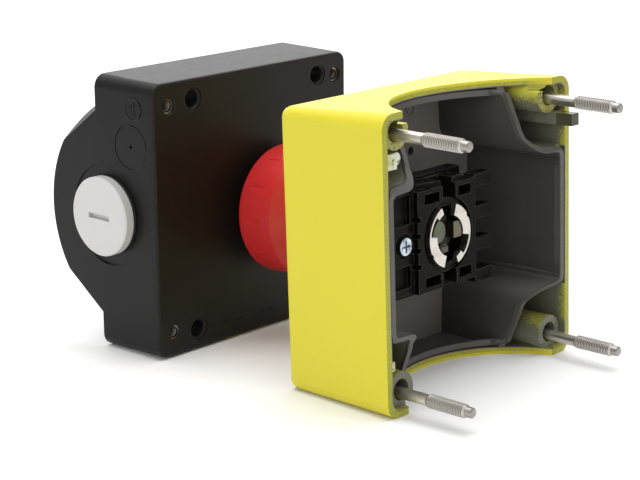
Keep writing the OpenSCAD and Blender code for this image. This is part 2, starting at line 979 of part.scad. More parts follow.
module screw_bottom_right() {
    screw_at(1, -1);
}

// one line per node
base_housing();
screw_inserts();
plug_gasket();
cable_plug();
module_carrier();
carrier_screws();
contact_block_left();
contact_block_right();
block_plunger_left();
block_plunger_right();
bridge_left();
bridge_right();
bridge_spring_left();
bridge_spring_right();
fixed_contacts();
terminal_screws();
earth_plate();
earth_screw();
cover_shell();
cover_seal();
clear_inserts();
screw_seals();
actuator_collar();
collar_seal();
actuator_barrel();
lock_ring();
module_holder();
holder_screw();
actuator_stem();
stem_pusher();
return_spring();
mushroom_cap();
mushroom_disc();
screw_top_left();
screw_top_right();
screw_bottom_left();
screw_bottom_right();
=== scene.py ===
"""Looks of the emergency stop control station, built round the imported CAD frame.

Lengths are in millimetres in a half's own axes, unless a comment says metres.
"""
import json
import math

import bmesh
import bpy
from mathutils import Matrix, Vector


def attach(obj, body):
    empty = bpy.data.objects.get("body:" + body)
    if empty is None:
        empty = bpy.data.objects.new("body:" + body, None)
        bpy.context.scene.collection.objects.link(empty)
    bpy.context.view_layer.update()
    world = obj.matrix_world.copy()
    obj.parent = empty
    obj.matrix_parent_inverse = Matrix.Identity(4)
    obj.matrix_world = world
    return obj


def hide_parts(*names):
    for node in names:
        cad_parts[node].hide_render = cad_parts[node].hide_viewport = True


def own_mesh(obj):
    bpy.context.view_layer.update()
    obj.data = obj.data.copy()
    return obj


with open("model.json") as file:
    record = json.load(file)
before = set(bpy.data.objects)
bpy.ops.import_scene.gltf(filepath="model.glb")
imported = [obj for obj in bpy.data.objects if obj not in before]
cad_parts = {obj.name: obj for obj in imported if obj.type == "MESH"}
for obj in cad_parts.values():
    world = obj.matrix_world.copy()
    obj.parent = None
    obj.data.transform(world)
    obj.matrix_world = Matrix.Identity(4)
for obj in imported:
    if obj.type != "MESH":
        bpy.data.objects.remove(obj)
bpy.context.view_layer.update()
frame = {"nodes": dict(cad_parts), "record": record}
nodes = frame["nodes"]

# the layout of part.scad: where the two halves stand, and half of a side
PLACE_X, PLACE_Y, HALF = -1.65, 30.7, 42.5
COVER_X, COVER_BACK, COVER_DEPTH = 7.0, 83.5, 39.0
DRAFT = math.radians(1.8)
# half spans of the screws in the cover, and how far their pattern sits off its centre;
# the base's inserts have the same pattern, turned by a quarter
SCREW_X, SCREW_Z, SCREW_SHIFT = 34.75, 36.25, 0.7
SCREW_REACH = 23.5
SCREW_PIVOT, DROOP = 31.0, math.radians(1.7)
INSERT_BACK, INSERT_FRONT, INSERT_BORE = 1.0, 10.0, 1.7
# the actuator's spring seat, and the contact blocks on their carrier
LEDGE, CARRIER_TOP, BLOCK_TOP, BLOCK_X = 18.5, 6.0, 31.5, 5.25

# the cover screws' rolled thread, between the dog point and the plain shank
SCREW_PITCH, SCREW_ROOT, SCREW_CREST = 0.56, 1.70, 2.0
DOG_LENGTH, DOG_R, SHANK_R = 2.2, 1.42, 1.58
THREAD_BACK, THREAD_FRONT = DOG_LENGTH - SCREW_REACH, -7.9

# bayonet ring: its rear plane, its thickness and the radii of its outline
RING_BACK, RING_THICK = 11.5, 1.9
JAW_IN, BOW_IN, TAB_IN, RING_OUT = 5.9, 8.7, 7.3, 9.4
# pusher: the round pad, then (x0, z0, x1, z1) of the square pad, the ramp and the bar
PAD_X, PAD_Z, PAD_R = -3.3, 1.3, 3.4
SQUARE_PAD = (1.9, -1.2, 5.9, 3.8)
RAMP = (-2.4, -5.2, 0.9, -3.4)
BAR = (-1.5, -6.4, 1.5, 6.4)


def metres(x, y, z):
    """A point or step given in millimetres, in metres."""
    return Vector((x, y, z)) / 1000


to_base = Matrix.Translation(metres(PLACE_X, PLACE_Y, HALF))
to_cover = Matrix.Translation(
    metres(PLACE_X + COVER_X, PLACE_Y - COVER_BACK, HALF * math.cos(DRAFT))
) @ Matrix.Rotation(-DRAFT, 4, "X")


class Shader:
    """A material's node tree in a half's own axes, with short calls for its nodes."""

    # the range that most of a noise's values lie in
    NOISE_LOW, NOISE_HIGH = 0.3, 0.7
    # cosines between the plain and the rounded normal, on a face and on a sharp edge
    ON_FACE, ON_EDGE = 0.995, 0.86

    def __init__(self, name, body=None, **settings):
        self.mat = bpy.data.materials.new(name)
        self.mat.use_nodes = True
        self.tree = self.mat.node_tree
        self.bsdf = self.tree.nodes["Principled BSDF"]
        self.body = body
        for socket, value in settings.items():
            self.bsdf.inputs[socket.replace("_", " ")].default_value = value
        place = {"base": to_base, "cover": to_cover}.get(body, Matrix.Identity(4))
        mapping = self.node("ShaderNodeMapping", vector_type="TEXTURE")
        mapping.inputs["Location"].default_value = place.to_translation()
        mapping.inputs["Rotation"].default_value = place.to_euler()
        mapping.inputs["Scale"].default_value = (0.001, 0.001, 0.001)
        self.link(self.node("ShaderNodeTexCoord").outputs["Object"], mapping.inputs["Vector"])
        # the point that is shaded, in millimetres
        self.mm = mapping.outputs["Vector"]

    def node(self, kind, **props):
        made = self.tree.nodes.new(kind)
        for key, value in props.items():
            setattr(made, key, value)
        return made

    def link(self, source, target):
        self.tree.links.new(source, target)

    def put(self, value, socket):
        """Links a socket, or sets a plain value."""
        if isinstance(value, bpy.types.NodeSocket):
            self.link(value, socket)
        else:
            socket.default_value = value

    def put_colour(self, value, socket):
        self.put(value if isinstance(value, bpy.types.NodeSocket) else (*value, 1.0), socket)

    def calc(self, operation, *values):
        made = self.node("ShaderNodeMath", operation=operation)
        for value, socket in zip(values, made.inputs):
            self.put(value, socket)
        return made.outputs[0]

    def plus(self, a, b):
        return self.calc("ADD", a, b)

    def minus(self, a, b):
        return self.calc("SUBTRACT", a, b)

    def times(self, a, b):
        return self.calc("MULTIPLY", a, b)

    def most(self, a, b):
        return self.calc("MAXIMUM", a, b)

    def rest(self, share):
        """What is left of 1."""
        return self.minus(1.0, share)

    def size(self, value):
        return self.calc("ABSOLUTE", value)

    def off(self, value, place):
        """How far a value is from a place, to either side."""
        return self.size(self.minus(value, place))

    def reach(self, u, w):
        """How far the point (u, w) is from zero."""
        return self.calc("SQRT", self.plus(self.times(u, u), self.times(w, w)))

    def step(self, value, start, end):
        """Goes smoothly from 0 at start to 1 at end; start may be the greater."""
        made = self.node("ShaderNodeMapRange", interpolation_type="SMOOTHSTEP")
        self.put(value, made.inputs["Value"])
        if start > end:
            start, end = end, start
            made.inputs["To Min"].default_value = 1.0
            made.inputs["To Max"].default_value = 0.0
        made.inputs["From Min"].default_value = start
        made.inputs["From Max"].default_value = end
        return made.outputs["Result"]

    def beyond(self, value, place, soft=0.1):
        """1 where a value is above a place's, with a soft border to both sides of it."""
        return self.step(value, place - soft, place + soft)

    def short_of(self, value, place, soft=0.1):
        """1 where a value is below a place's, with a soft border to both sides of it."""
        return self.step(value, place + soft, place - soft)

    def spread(self, value, low, high, to_low, to_high):
        """Maps low..high evenly to to_low..to_high."""
        made = self.node("ShaderNodeMapRange")
        self.put(value, made.inputs["Value"])
        made.inputs["From Min"].default_value = low
        made.inputs["From Max"].default_value = high
        made.inputs["To Min"].default_value = to_low
        made.inputs["To Max"].default_value = to_high
        return made.outputs["Result"]

    def vary(self, noise, low, high):
        """Maps a noise's usual range to low..high."""
        return self.spread(noise, self.NOISE_LOW, self.NOISE_HIGH, low, high)

    def noise(self, scale, detail=3, rough=0.6, stretch=None):
        vector = self.mm
        if stretch:
            scaled = self.node("ShaderNodeMapping")
            scaled.inputs["Scale"].default_value = stretch
            self.link(self.mm, scaled.inputs["Vector"])
            vector = scaled.outputs["Vector"]
        made = self.node("ShaderNodeTexNoise")
        made.inputs["Scale"].default_value = scale
        made.inputs["Detail"].default_value = detail
        made.inputs["Roughness"].default_value = rough
        self.link(vector, made.inputs["Vector"])
        return made.outputs["Fac"]

    def mix(self, share, a, b):
        made = self.node("ShaderNodeMix", data_type="RGBA")
        self.put(share, made.inputs["Factor"])
        self.put_colour(a, made.inputs["A"])
        self.put_colour(b, made.inputs["B"])
        return made.outputs["Result"]

    def split(self, vector=None):
        """The X, Y and Z of a vector, or else of the point that is shaded."""
        made = self.node("ShaderNodeSeparateXYZ")
        self.link(vector or self.mm, made.inputs[0])
        return made.outputs

    def facing(self):
        """The surface's direction in the half's own axes, as X, Y and Z."""
        turn = self.node("ShaderNodeVectorRotate", rotation_type="X_AXIS")
        turn.inputs["Angle"].default_value = DRAFT if self.body == "cover" else 0.0
        normal = self.node("ShaderNodeNewGeometry").outputs["Normal"]
        self.link(normal, turn.inputs["Vector"])
        return self.split(turn.outputs["Vector"])

    def edges(self, width):
        """1 along sharp edges, 0 on open faces."""
        rounded = self.node("ShaderNodeBevel", samples=4)
        rounded.inputs["Radius"].default_value = width / 1000
        plain = self.node("ShaderNodeNewGeometry")
        dot = self.node("ShaderNodeVectorMath", operation="DOT_PRODUCT")
        self.link(rounded.outputs["Normal"], dot.inputs[0])
        self.link(plain.outputs["Normal"], dot.inputs[1])
        return self.step(dot.outputs["Value"], self.ON_FACE, self.ON_EDGE)

    def colour(self, value):
        self.put_colour(value, self.bsdf.inputs["Base Color"])

    def rough(self, value):
        self.put(value, self.bsdf.inputs["Roughness"])

    def bump(self, *layers):
        """Layers of (height from 0 to 1, depth)."""
        normal = None
        for height, depth in layers:
            made = self.node("ShaderNodeBump")
            made.inputs["Distance"].default_value = depth / 1000
            self.link(height, made.inputs["Height"])
            if normal is not None:
                self.link(normal, made.inputs["Normal"])
            normal = made.outputs["Normal"]
        self.link(normal, self.bsdf.inputs["Normal"])


def powder_black(name):
    """Fine powder coat on the cast base, with painted shade: darker on the wall that faces
    -X, and darker and warmer on the rear mounting face.
    """
    side_dark, side_light = (0.0098, 0.0096, 0.0097), (0.0135, 0.0131, 0.0131)
    # darker tones for the rear mounting face and the left wall: painted shade
    shaded_rear_dark, shaded_rear_light = (0.0060, 0.0043, 0.0030), (0.0088, 0.0066, 0.0049)
    shaded_left_wall, bare = (0.0052, 0.0050, 0.0050), (0.085, 0.080, 0.074)
    s = Shader(name, "base", Specular_IOR_Level=0.22)
    cloud = s.noise(0.06)
    side = s.mix(cloud, side_dark, side_light)
    rear = s.mix(cloud, shaded_rear_dark, shaded_rear_light)
    # painted shade: the wall that faces -X is darker
    side = s.mix(s.step(s.facing()["X"], -0.7, -0.95), side, shaded_left_wall)
    # painted shade: the rear mounting face is darker and warmer
    near_rear = s.short_of(s.split()["Y"], 0.55, 0.35)
    dark = s.mix(near_rear, side, rear)
    worn = s.times(s.edges(0.35), s.step(s.noise(0.5, 4, 0.7), 0.42, 0.66))
    s.colour(s.mix(s.times(worn, 0.5), dark, bare))
    s.rough(s.vary(s.noise(0.3, 4), 0.41, 0.45))
    peel, grain = (s.noise(0.7, 2, 0.5), 0.009), (s.noise(2.6), 0.006)
    s.bump(peel, grain)
    return s.mat


def cover_paint(name):
    """Yellow paint outside, bare dark grey primer inside, with overspray where they meet, and
    painted light and shade: lighter primer on lit faces, a darker rim.
    """
    # full paint, the thin coat on the rim, darker there partly as painted shade, and what
    # drifted in, from sparse to dense
    full = (0.640, 0.565, 0.026), (0.675, 0.600, 0.033)
    rim_coat_and_shade = (0.30, 0.295, 0.026), (0.44, 0.430, 0.042)
    drifted, dense = ((0.36, 0.355, 0.030), (0.50, 0.490, 0.050)), (0.64, 0.605, 0.040)
    # primer, its painted light on lit faces, its tint in the corner pockets, and the lug past
    # the rim
    primer, painted_lit_primer = ((0.054, 0.049, 0.044), (0.076, 0.069, 0.062)), (0.172, 0.154, 0.136)
    olive = (0.125, 0.122, 0.088), (0.175, 0.170, 0.125)
    dull_lug = (0.062, 0.060, 0.034)
    # how much less paint reaches the bosses' rear faces, the lower bosses and the lug
    less_behind, less_below, less_on_lug = 0.30, 0.92, 1.2

    s = Shader(name, "cover", Specular_IOR_Level=0.36)
    x, y, z = s.split()
    _, ny, nz = s.facing()
    ax, az = s.size(x), s.size(z)
    mist = s.noise(1.7, 5, 0.8)

    # outside: beyond the leaning inner wall faces, and the front
    inner_wall, inner_lean, front_wall = 40.65, 0.037, COVER_DEPTH - 1.7
    outer = s.beyond(s.plus(s.most(ax, az), s.times(y, inner_lean)), inner_wall)
    edge = s.most(outer, s.beyond(y, front_wall))
    # the four corner pockets behind the S shaped walls
    pocket_x, pocket_z, pocket_r = 32.6, 27.6, 6.45
    past_x = s.most(s.minus(pocket_x, ax), 0.0)
    past_z = s.most(s.minus(pocket_z, az), 0.0)
    pocket = s.short_of(s.reach(past_x, past_z), pocket_r, 0.2)
    # near a screw boss
    boss_r = 6.0
    from_screw = s.reach(s.minus(ax, SCREW_X), s.minus(s.off(z, SCREW_SHIFT), SCREW_Z))
    boss = s.short_of(from_screw, boss_r, 0.6)
    # on the locating lug
    lug_x, lug_z, lug_half = 37.4, 30.1, 1.9
    lug = s.times(
        s.short_of(s.off(x, lug_x), lug_half, 0.05),
        s.short_of(s.off(z, lug_z), lug_half, 0.05),
    )

    # paint drifted in over the rim onto the bosses, more on what faces up there; the extra on
    # upward faces is partly painted light from above
    near_rim = s.spread(y, 0.0, 25.0, 0.62, 0.22)
    lit = s.spread(nz, -0.5, 0.8, -0.35, 0.95)
    on_boss = s.plus(near_rim, lit)
    on_boss = s.minus(on_boss, s.times(s.step(ny, -0.8, -0.95), less_behind))
    on_boss = s.minus(on_boss, s.times(s.short_of(z, 0.0, 0.5), less_below))
    on_wall = s.times(s.spread(y, 0.0, 4.0, 0.75, -0.35), s.step(y, -0.9, -0.2))
    drift = s.plus(s.times(boss, on_boss), s.times(s.rest(boss), on_wall))
    drift = s.plus(drift, s.times(s.minus(s.noise(0.16), 0.5), 0.7))
    drift = s.minus(drift, s.times(lug, less_on_lug))
    speckle = s.step(s.minus(drift, s.spread(mist, 0.32, 0.68, -0.15, 0.95)), -0.10, 0.14)
    inside = s.times(s.most(pocket, boss), s.times(speckle, 0.85))
    share = s.most(edge, inside)

    # a thin, darker coat on the rim's own face, and on the faces of the round cut-outs, but
    # for a bright line along their outer edges; the darkness on these rear-facing faces is
    # partly painted shade
    cut_from, bright_from = 39.4, HALF - 0.8
    rim = s.times(s.short_of(y, 0.11, 0.05), s.step(ny, -0.5, -0.8))
    cut = s.times(s.beyond(az, cut_from), s.step(ny, -0.35, -0.6))
    outermost = s.beyond(s.plus(az, s.times(y, math.tan(DRAFT))), bright_from, 0.2)
    cut = s.times(cut, s.rest(outermost))
    rim = s.most(rim, s.times(cut, s.beyond(y, 0.45, 0.15)))
    thin = s.mix(s.noise(0.5), *drifted)
    thin = s.mix(s.step(drift, 0.55, 1.15), thin, dense)
    coat = s.mix(rim, thin, s.mix(s.step(mist, 0.40, 0.62), *rim_coat_and_shade))
    yellow = s.mix(s.noise(0.05, 3, 0.5), *full)
    yellow = s.mix(s.times(edge, s.rest(rim)), coat, yellow)

    # primer, with painted light: lighter on what faces up and on the front wall's inside
    on_top, on_front = s.step(nz, 0.3, 0.8), s.step(ny, -0.6, -0.9)
    painted_light = s.most(s.times(on_top, 0.33), s.times(on_front, 0.92))
    grey = s.mix(painted_light, s.mix(s.noise(0.09, 4), *primer), painted_lit_primer)
    grey = s.mix(pocket, grey, s.mix(s.noise(0.2, 4), *olive))
    grey = s.mix(s.short_of(y, -0.3, 0.2), grey, dull_lug)

    s.colour(s.mix(share, grey, yellow))
    s.rough(s.plus(s.times(share, 0.06), s.vary(s.noise(0.4, 4), 0.34, 0.42)))
    peel, grain = (s.noise(0.55, 2, 0.5), 0.028), (s.noise(3.0), 0.010)
    s.bump(peel, grain)
    return s.mat


def screw_steel(name):
    """Stainless cover screws: bright shank and crests, with painted shade in the rolled
    thread's grooves and on the dog point.
    """
    clean = (0.56, 0.53, 0.48), (0.66, 0.63, 0.58)
    shaded_dog_point, groove_shade = (0.36, 0.34, 0.31), (0.15, 0.138, 0.118)
    s = Shader(name, "cover", Metallic=1.0)
    x, y, z = s.split()
    # how far a point is from its screw's axis, which droops to the rear
    sag = s.times(s.minus(y, SCREW_PIVOT), math.tan(DROOP))
    height = s.minus(s.minus(z, SCREW_SHIFT), sag)
    reach = s.reach(s.minus(s.size(x), SCREW_X), s.minus(s.size(height), SCREW_Z))
    behind_shank = s.short_of(y, THREAD_FRONT - 0.55, 0.15)
    before_point = s.beyond(y, THREAD_BACK + 0.5, 0.2)
    threaded = s.times(behind_shank, before_point)
    # painted shade darkens the thread's grooves
    groove = s.times(threaded, s.short_of(reach, SCREW_CREST - 0.14, 0.08))
    steel = s.mix(s.noise(0.12, 3, 0.5), *clean)
    # painted shade: the dog point is darker
    steel = s.mix(s.short_of(y, THREAD_BACK + 0.15, 0.25), steel, shaded_dog_point)
    s.colour(s.mix(groove, steel, groove_shade))
    streak = s.noise(2.0, 4, 0.65, stretch=(3, 0.25, 3))
    s.rough(s.plus(s.vary(streak, 0.32, 0.42), s.times(groove, 0.1)))
    s.bump((streak, 0.006))
    return s.mat


def insert_steel(name):
    """Inserts in the base: a bright mouth, with painted shade darker further in and in the
    thread grooves.
    """
    clean = (0.50, 0.47, 0.41), (0.62, 0.58, 0.51)
    # painted shade for the deep bore and the thread grooves
    dull, groove_shade = (0.16, 0.13, 0.095), (0.035, 0.028, 0.020)
    s = Shader(name, "base", Metallic=1.0)
    x, y, z = s.split()
    reach = s.reach(s.minus(s.off(x, SCREW_SHIFT), SCREW_Z), s.minus(s.size(z), SCREW_X))
    # painted shade darkens the thread grooves
    groove = s.times(
        s.beyond(reach, INSERT_BORE - 0.12, 0.08),
        s.short_of(reach, INSERT_BORE + 0.18, 0.12),
    )
    # painted shade: darker deeper in the bore
    deep = s.step(y, INSERT_BACK + 0.8, INSERT_BACK + 3.5)
    steel = s.mix(deep, s.mix(s.noise(0.8), *clean), dull)
    s.colour(s.mix(groove, steel, groove_shade))
    s.rough(s.vary(s.noise(1.5), 0.26, 0.42))
    s.bump((s.noise(2.0), 0.006))
    return s.mat


def holder_plastic(name):
    """Dark glass filled moulding of the module holder, with lighter edges, partly faint wear
    and partly painted highlight.
    """
    dark, light = (0.0040, 0.0036, 0.0028), (0.0075, 0.0068, 0.0055)
    worn_and_lit_edge = (0.125, 0.112, 0.098)
    s = Shader(name, "cover", Specular_IOR_Level=0.05)
    # lighter edges: partly faint wear, partly painted highlight
    wear_and_highlight = s.times(s.edges(0.34), s.step(s.noise(0.5), 0.30, 0.55))
    s.colour(s.mix(s.times(wear_and_highlight, 0.85), s.mix(s.noise(0.12, 4), dark, light), worn_and_lit_edge))
    s.rough(s.vary(s.noise(0.5, 4), 0.24, 0.38))
    s.bump((s.noise(2.2), 0.012))
    return s.mat


def pusher_plastic(name):
    """Round greenish pad, beige pad and light ramp on the pusher's moulding, which is painted
    dark as painted shade deep inside the ring.
    """
    green = (0.105, 0.112, 0.070), (0.150, 0.155, 0.100)
    beige = (0.130, 0.118, 0.070), (0.185, 0.168, 0.105)
    dark = (0.008, 0.007, 0.005), (0.014, 0.012, 0.009)
    ramp_grey = (0.10, 0.09, 0.078)
    s = Shader(name, "cover", Specular_IOR_Level=0.15)
    x, y, z = s.split()
    # the pads' colours lie on their rear faces only; their sides are painted dark like the
    # moulding, as painted shade
    rearmost = s.short_of(y, RING_BACK + 3.65, 0.15)
    shallow = s.times(rearmost, s.step(s.facing()["Y"], -0.6, -0.9))
    reach = s.reach(s.minus(x, PAD_X), s.minus(z, PAD_Z))
    round_pad = s.times(s.short_of(reach, PAD_R + 0.07, 0.05), s.short_of(x, 0.55, 0.05))
    left, low, _, high = SQUARE_PAD
    half_high = (high - low) / 2
    square_pad = s.times(
        s.beyond(x, left - 0.25, 0.05),
        s.short_of(s.off(z, (low + high) / 2), half_high + 0.15, 0.05),
    )
    ramp_top = RAMP[3]
    ramp = s.times(
        s.short_of(z, ramp_top + 0.4),
        s.short_of(y, RING_BACK + 3.3),
    )
    # painted shade: the moulding is dark, for the shade deep inside the ring
    look = s.mix(s.noise(0.4), *dark)
    look = s.mix(s.times(round_pad, shallow), look, s.mix(s.noise(0.3), *green))
    look = s.mix(s.times(square_pad, shallow), look, s.mix(s.noise(0.4), *beige))
    s.colour(s.mix(ramp, look, ramp_grey))
    s.rough(s.vary(s.noise(0.5, 4), 0.30, 0.44))
    s.bump((s.noise(1.6), 0.02))
    return s.mat


def clear_plastic(name):
    """Clear plastic with painted light in its colour: white highlights, reflections of the
    yellow round it, and dark patches.
    """
    white, yellow, dark = (0.92, 0.92, 0.84), (0.72, 0.72, 0.22), (0.20, 0.20, 0.12)
    s = Shader(name, "cover", Specular_IOR_Level=0.7, Transmission_Weight=0.30, IOR=1.49)
    # painted highlights in white and painted reflections of the yellow round it, with dark
    # patches between
    tint = s.mix(s.step(s.noise(0.45), 0.42, 0.58), white, yellow)
    s.colour(s.mix(s.step(s.noise(0.7, 2, 0.5), 0.60, 0.68), tint, dark))
    s.rough(s.vary(s.noise(0.9), 0.06, 0.20))
    s.bump((s.noise(0.8), 0.12))
    return s.mat


def plastic(name, light, dark, rough, body=None, grain=0.02, **settings):
    """A plain moulded plastic or rubber, slightly cloudy, with a fine grain."""
    s = Shader(name, body, **settings)
    s.colour(s.mix(s.noise(0.12, 4), dark, light))
    s.rough(s.vary(s.noise(0.5, 4), *rough))
    s.bump((s.noise(2.2), grain))
    return s.mat


def metal(name, light, dark, rough, body=None, stretch=(1, 1, 1), depth=0.012, scale=2.0):
    """A plain metal with brushed marks and dull patches."""
    s = Shader(name, body, Metallic=1.0)
    brushed = s.noise(scale, 4, 0.65, stretch=stretch)
    s.colour(s.mix(s.step(s.noise(0.35, 4, 0.65), 0.35, 0.75), light, dark))
    s.rough(s.vary(brushed, *rough))
    s.bump((brushed, depth))
    return s.mat


def make_materials():
    """The materials by slot, and holder_plastic for two nodes that differ from theirs."""
    return {
        "base_paint": powder_black("powder_black"),
        "cover_paint": cover_paint("yellow_paint"),
        "insert_steel": insert_steel("insert_steel"),
        "screw_steel": screw_steel("screw_steel"),
        "holder_plastic": holder_plastic("holder_plastic"),
        "pusher_plastic": pusher_plastic("pusher_plastic"),
        "clear_plastic": clear_plastic("clear_plastic"),
        "zinc": metal(
            "zinc", (0.60, 0.67, 0.72), (0.16, 0.20, 0.24), (0.16, 0.34), scale=1.2),
        "lock_steel": metal(
            "lock_steel", (0.66, 0.62, 0.57), (0.52, 0.48, 0.44), (0.22, 0.38),
            "cover", stretch=(1, 0.4, 5), depth=0.01),
        "spring_steel": metal(
            "spring_steel", (0.62, 0.62, 0.62), (0.40, 0.40, 0.40), (0.22, 0.36)),
        "contact_brass": metal(
            "contact_brass", (0.72, 0.52, 0.22), (0.55, 0.38, 0.15), (0.24, 0.40)),
        "black_plastic": plastic(
            "black_plastic", (0.0085, 0.0085, 0.0078), (0.0050, 0.0050, 0.0048),
            (0.30, 0.44), Specular_IOR_Level=0.38),
        "collar_plastic": plastic(
            "collar_plastic", (0.0125, 0.0125, 0.0125), (0.009, 0.009, 0.009),
            (0.30, 0.42), Specular_IOR_Level=0.2),
        "plug_plastic": plastic(
            "plug_plastic", (0.60, 0.59, 0.575), (0.55, 0.54, 0.53), (0.46, 0.58), "base"),
        "stem_plastic": plastic(
            "stem_plastic", (0.70, 0.67, 0.58), (0.62, 0.59, 0.50), (0.40, 0.5)),
        "plunger_plastic": plastic(
            "plunger_plastic", (0.42, 0.030, 0.024), (0.34, 0.020, 0.018), (0.28, 0.38)),
        "seal_rubber": plastic(
            "seal_rubber", (0.098, 0.089, 0.080), (0.066, 0.060, 0.054), (0.42, 0.55),
            "cover"),
        "black_rubber": plastic(
            "black_rubber", (0.016, 0.016, 0.016), (0.010, 0.010, 0.010), (0.55, 0.7)),
        "red_plastic": plastic(
            "red_plastic", (0.54, 0.022, 0.022), (0.48, 0.017, 0.018), (0.30, 0.42),
            "cover", grain=0.012, Coat_Weight=0.15, Coat_Roughness=0.25),
    }


materials = make_materials()
slot_of = {part["node"]: part["material_slot"] for part in frame["record"]["subparts"]}
# nodes that look a little different from the rest of their slot
LOOKS = {"module_holder": "holder_plastic", "actuator_barrel": "holder_plastic"}
# how far a node's sharp edges are rounded, where it isn't the usual width
BEVELS = {
    "base_housing": 0.25, "cover_shell": 0.25, "cable_plug": 0.2, "module_holder": 0.12,
    "mushroom_cap": 0.35, "cover_seal": 0.3,
}
USUAL_BEVEL = 0.1
SHARP = math.radians(28)
WELD_REACH = 0.002


def soften(obj, bevel):
    """Rounds an object's sharp edges and shades its faces flat between them."""
    soft = obj.modifiers.new("edges", "BEVEL")
    soft.width = bevel / 1000
    soft.segments = 2
    soft.limit_method = "ANGLE"
    soft.angle_limit = SHARP
    soft.use_clamp_overlap = True
    soft.harden_normals = False
    obj.modifiers.new("shading", "WEIGHTED_NORMAL").keep_sharp = False


def dress(name):
    """Gives a CAD node its material and softens its edges."""
    obj = nodes[name]
    obj.data.materials.clear()
    obj.data.materials.append(materials[LOOKS.get(name, slot_of[name])])
    obj.modifiers.new("weld", "WELD").merge_threshold = WELD_REACH / 1000
    soften(obj, BEVELS.get(name, USUAL_BEVEL))


for name in nodes:
    dress(name)


def mesh_piece(name, points, faces, slot, body, place, closed=True):
    """A piece that rides on a body; a closed one has its faces turned outwards."""
    mesh = bpy.data.meshes.new(name)
    mesh.from_pydata([place @ metres(*point) for point in points], [], faces)
    mesh.validate()
    if closed:
        shape = bmesh.new()
        shape.from_mesh(mesh)
        bmesh.ops.recalc_face_normals(shape, faces=shape.faces)
        shape.to_mesh(mesh)
        shape.free()
    mesh.polygons.foreach_set("use_smooth", [True] * len(mesh.polygons))
    obj = bpy.data.objects.new(name, mesh)
    bpy.context.scene.collection.objects.link(obj)
    obj.data.materials.append(materials[slot])
    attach(obj, body)
    return obj


def grid(rows, close_ends=False):
    """Joins rings of equal length into a band, or into a solid with its ends closed."""
    points = [point for row in rows for point in row]
    n = len(rows[0])
    faces = [
        (i * n + k, i * n + (k + 1) % n, (i + 1) * n + (k + 1) % n, (i + 1) * n + k)
        for i in range(len(rows) - 1)
        for k in range(n)
    ]
    if close_ends:
        faces += [tuple(range(n))[::-1], tuple(range((len(rows) - 1) * n, len(rows) * n))]
    return points, faces


def prisms(*blocks):
    """Closed solids from (outline, rear, front), each outline (x, z) seen from behind."""
    points, faces = [], []
    for outline, rear, front in blocks:
        first, n = len(points), len(outline)
        points += [(x, rear, z) for x, z in outline] + [(x, front, z) for x, z in outline]
        low, high = range(first, first + n), range(first + n, first + 2 * n)
        faces += [tuple(low), tuple(reversed(high))]
        faces += [(low[k], high[k], high[(k + 1) % n], low[(k + 1) % n]) for k in range(n)]
    return points, faces


def arc(radius, start, end, centre=(0, 0), steps=24):
    """Points on a circle from one angle to another, in degrees."""
    angles = [math.radians(start + (end - start) * k / steps) for k in range(steps + 1)]
    return [
        (centre[0] + radius * math.cos(a), centre[1] + radius * math.sin(a)) for a in angles
    ]


def circle(radius, centre=(0, 0)):
    return arc(radius, 0, 350, centre, 35)


def box(x0, z0, x1, z1, steps=6):
    """A rectangle's outline, with points along its sides so that it can be trimmed."""
    corners = [(x0, z0), (x1, z0), (x1, z1), (x0, z1), (x0, z0)]
    return [
        (a[0] + (b[0] - a[0]) * k / steps, a[1] + (b[1] - a[1]) * k / steps)
        for a, b in zip(corners, corners[1:])
        for k in range(steps)
    ]


def within(outline, radius):
    """An outline with what lies beyond a circle round the centre brought back onto it."""
    shares = [min(1.0, radius / math.hypot(x, z)) for x, z in outline]
    return [(x * share, z * share) for (x, z), share in zip(outline, shares)]


def corners(high, low):
    """The four corners as (x sign, z sign, name), with the words for up and down."""
    return [
        (sx, sz, level + "_" + side)
        for sz, level in ((1, high), (-1, low))
        for sx, side in ((-1, "left"), (1, "right"))
    ]


def thread_rows(pitch, start, end, sides, winding, radius):
    """Rings of a threaded surface round the y axis.

    radius(y, tooth) is a point's distance from the axis, where tooth goes from 0 in the
    groove to 1 on the crest. winding is -1 for a surface seen from outside and 1 for a
    bore.
    """
    rows_per_turn = 8
    count = int((end - start) / pitch * rows_per_turn)
    rows = []
    for i in range(count + 1):
        y = start + (end - start) * i / count
        row = []
        for k in range(sides):
            turn = winding * k / sides
            phase = (y / pitch + turn) % 1.0
            flank = 1 - abs(2 * phase - 1)
            r = radius(y, max(0.0, min(1.0, 1.5 * flank - 0.25)))
            angle = 2 * math.pi * turn
            row.append((r * math.cos(angle), y, r * math.sin(angle)))
        rows.append(row)
    return rows


def thread(name, body, sx, sz):
    """Rolled thread round a cover screw's plain thread cylinder."""
    chamfer, runout = 1.1, 0.45

    def radius(y, tooth):
        # chamfered over the dog point, and run out on the shank
        over_point = DOG_R + (y - THREAD_BACK) * chamfer
        over_shank = SHANK_R + (THREAD_FRONT - y) * runout
        full = SCREW_ROOT + (SCREW_CREST - SCREW_ROOT) * tooth
        return min(SCREW_CREST, over_point, over_shank, full)

    rows = thread_rows(SCREW_PITCH, THREAD_BACK, THREAD_FRONT, 36, -1, radius)
    pivot = metres(sx * SCREW_X, SCREW_PIVOT, sz * SCREW_Z + SCREW_SHIFT)
    droop = Matrix.Translation(pivot) @ Matrix.Rotation(DROOP, 4, "X")
    seat = to_cover @ droop @ Matrix.Translation(metres(0, -SCREW_PIVOT, 0))
    mesh_piece(name, *grid(rows), "screw_steel", body, seat, closed=False)


